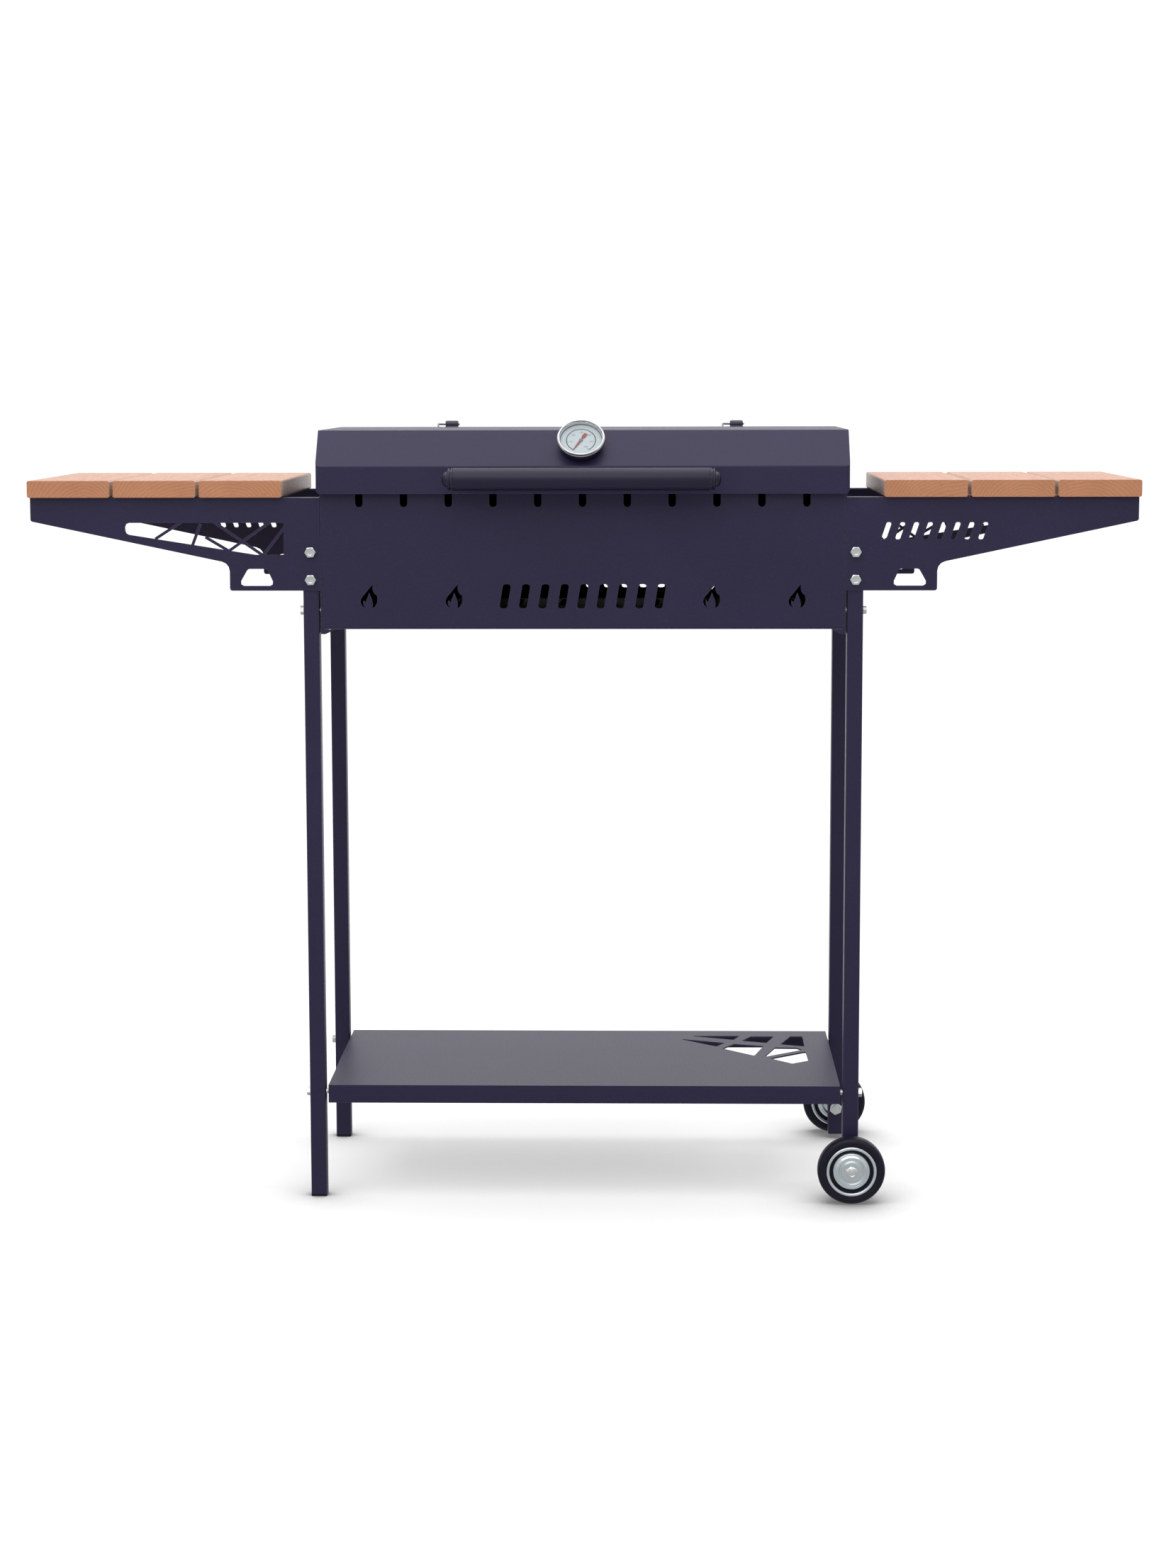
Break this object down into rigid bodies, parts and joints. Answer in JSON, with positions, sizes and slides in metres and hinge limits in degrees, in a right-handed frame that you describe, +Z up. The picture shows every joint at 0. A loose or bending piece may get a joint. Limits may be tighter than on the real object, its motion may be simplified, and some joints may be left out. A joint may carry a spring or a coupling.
{
  "type": "charcoal skewer grill",
  "caption": "Sheet-steel charcoal skewer grill with a hinged hood lid, slotted firebox, wooden side tables, a lower shelf and a wheeled four-leg stand.",
  "frame": {"origin": "middle of the footprint, on the ground", "axes": "+Z up, +X towards the side with the wheels, -Y towards the cook and the lid's handle"},
  "size_m": [1.372, 0.4468, 0.9819],
  "materials": {
    "powder_coat": "fine-textured satin powder coat, blue-violet charcoal",
    "black_enamel": "satin black enamel",
    "zinc": "bright zinc plate",
    "stainless": "polished stainless steel",
    "wood": "oiled orange-brown hardwood",
    "tyre": "solid black rubber",
    "black_plastic": "matte moulded plastic",
    "dial_white": "printed white enamel dial",
    "pointer_red": "red painted pointer",
    "glass": "clear flat glass"
  },
  "bodies": {
    "stand": {"axle_front": "zinc", "axle_rear": "zinc", "box_bolt_front_left": "zinc", "box_bolt_front_right": "zinc", "box_bolt_rear_left": "zinc", "box_bolt_rear_right": "zinc", "bracket_bolt_front_left_high": "zinc", "bracket_bolt_front_left_low": "zinc", "bracket_bolt_front_right_high": "zinc", "bracket_bolt_front_right_low": "zinc", "bracket_bolt_rear_left_high": "zinc", "bracket_bolt_rear_left_low": "zinc", "bracket_bolt_rear_right_high": "zinc", "bracket_bolt_rear_right_low": "zinc", "bracket_front_left": "powder_coat", "bracket_front_right": "powder_coat", "bracket_rear_left": "powder_coat", "bracket_rear_right": "powder_coat", "coal_grate": "black_enamel", "end_plate_left": "powder_coat", "end_plate_right": "powder_coat", "firebox_shell": "powder_coat", "foot_cap_front_left": "black_plastic", "foot_cap_rear_left": "black_plastic", "hinge_pin_left": "zinc", "hinge_pin_right": "zinc", "leg_front_left": "powder_coat", "leg_front_right": "powder_coat", "leg_rear_left": "powder_coat", "leg_rear_right": "powder_coat", "plank_left_1": "wood", "plank_left_2": "wood", "plank_left_3": "wood", "plank_right_1": "wood", "plank_right_2": "wood", "plank_right_3": "wood", "rear_hood": "powder_coat", "shelf": "powder_coat", "shelf_bolt_front_left": "zinc", "shelf_bolt_front_right": "zinc", "shelf_bolt_rear_left": "zinc", "shelf_bolt_rear_right": "zinc"},
    "lid": {"handle_cap_left": "black_enamel", "handle_cap_right": "black_enamel", "handle_post_left": "black_enamel", "handle_post_right": "black_enamel", "handle_tube": "black_enamel", "hinge_barrel_left": "black_enamel", "hinge_barrel_right": "black_enamel", "lid_shell": "powder_coat", "thermometer_cup": "stainless", "thermometer_dial": "dial_white", "thermometer_glass": "glass", "thermometer_nut": "zinc"},
    "pointer": {"thermometer_pointer": "pointer_red"},
    "wheel_front": {"tyre_front": "tyre", "wheel_disc_front": "zinc"},
    "wheel_rear": {"tyre_rear": "tyre", "wheel_disc_rear": "zinc"}
  },
  "joints": [
    {"name": "lid_hinge", "type": "hinge", "parent": "stand", "child": "lid", "pos_m": [0, 0.15165, 0.9725], "axis": [-1, 0, 0], "range_deg": [0, 100]},
    {"name": "wheel_front_spin", "type": "hinge", "parent": "stand", "child": "wheel_front", "pos_m": [0.337, -0.17085, 0.0425], "axis": [0, 1, 0], "continuous": true},
    {"name": "wheel_rear_spin", "type": "hinge", "parent": "stand", "child": "wheel_rear", "pos_m": [0.337, 0.20415, 0.0425], "axis": [0, 1, 0], "continuous": true},
    {"name": "pointer_turn", "type": "hinge", "parent": "lid", "child": "pointer", "pos_m": [-0.0017, -0.1506, 0.95617], "axis": [0, -0.7376, 0.6752], "range_deg": [-290, 0], "stiffness_Nm_per_rad": 0.0005}
  ]
}
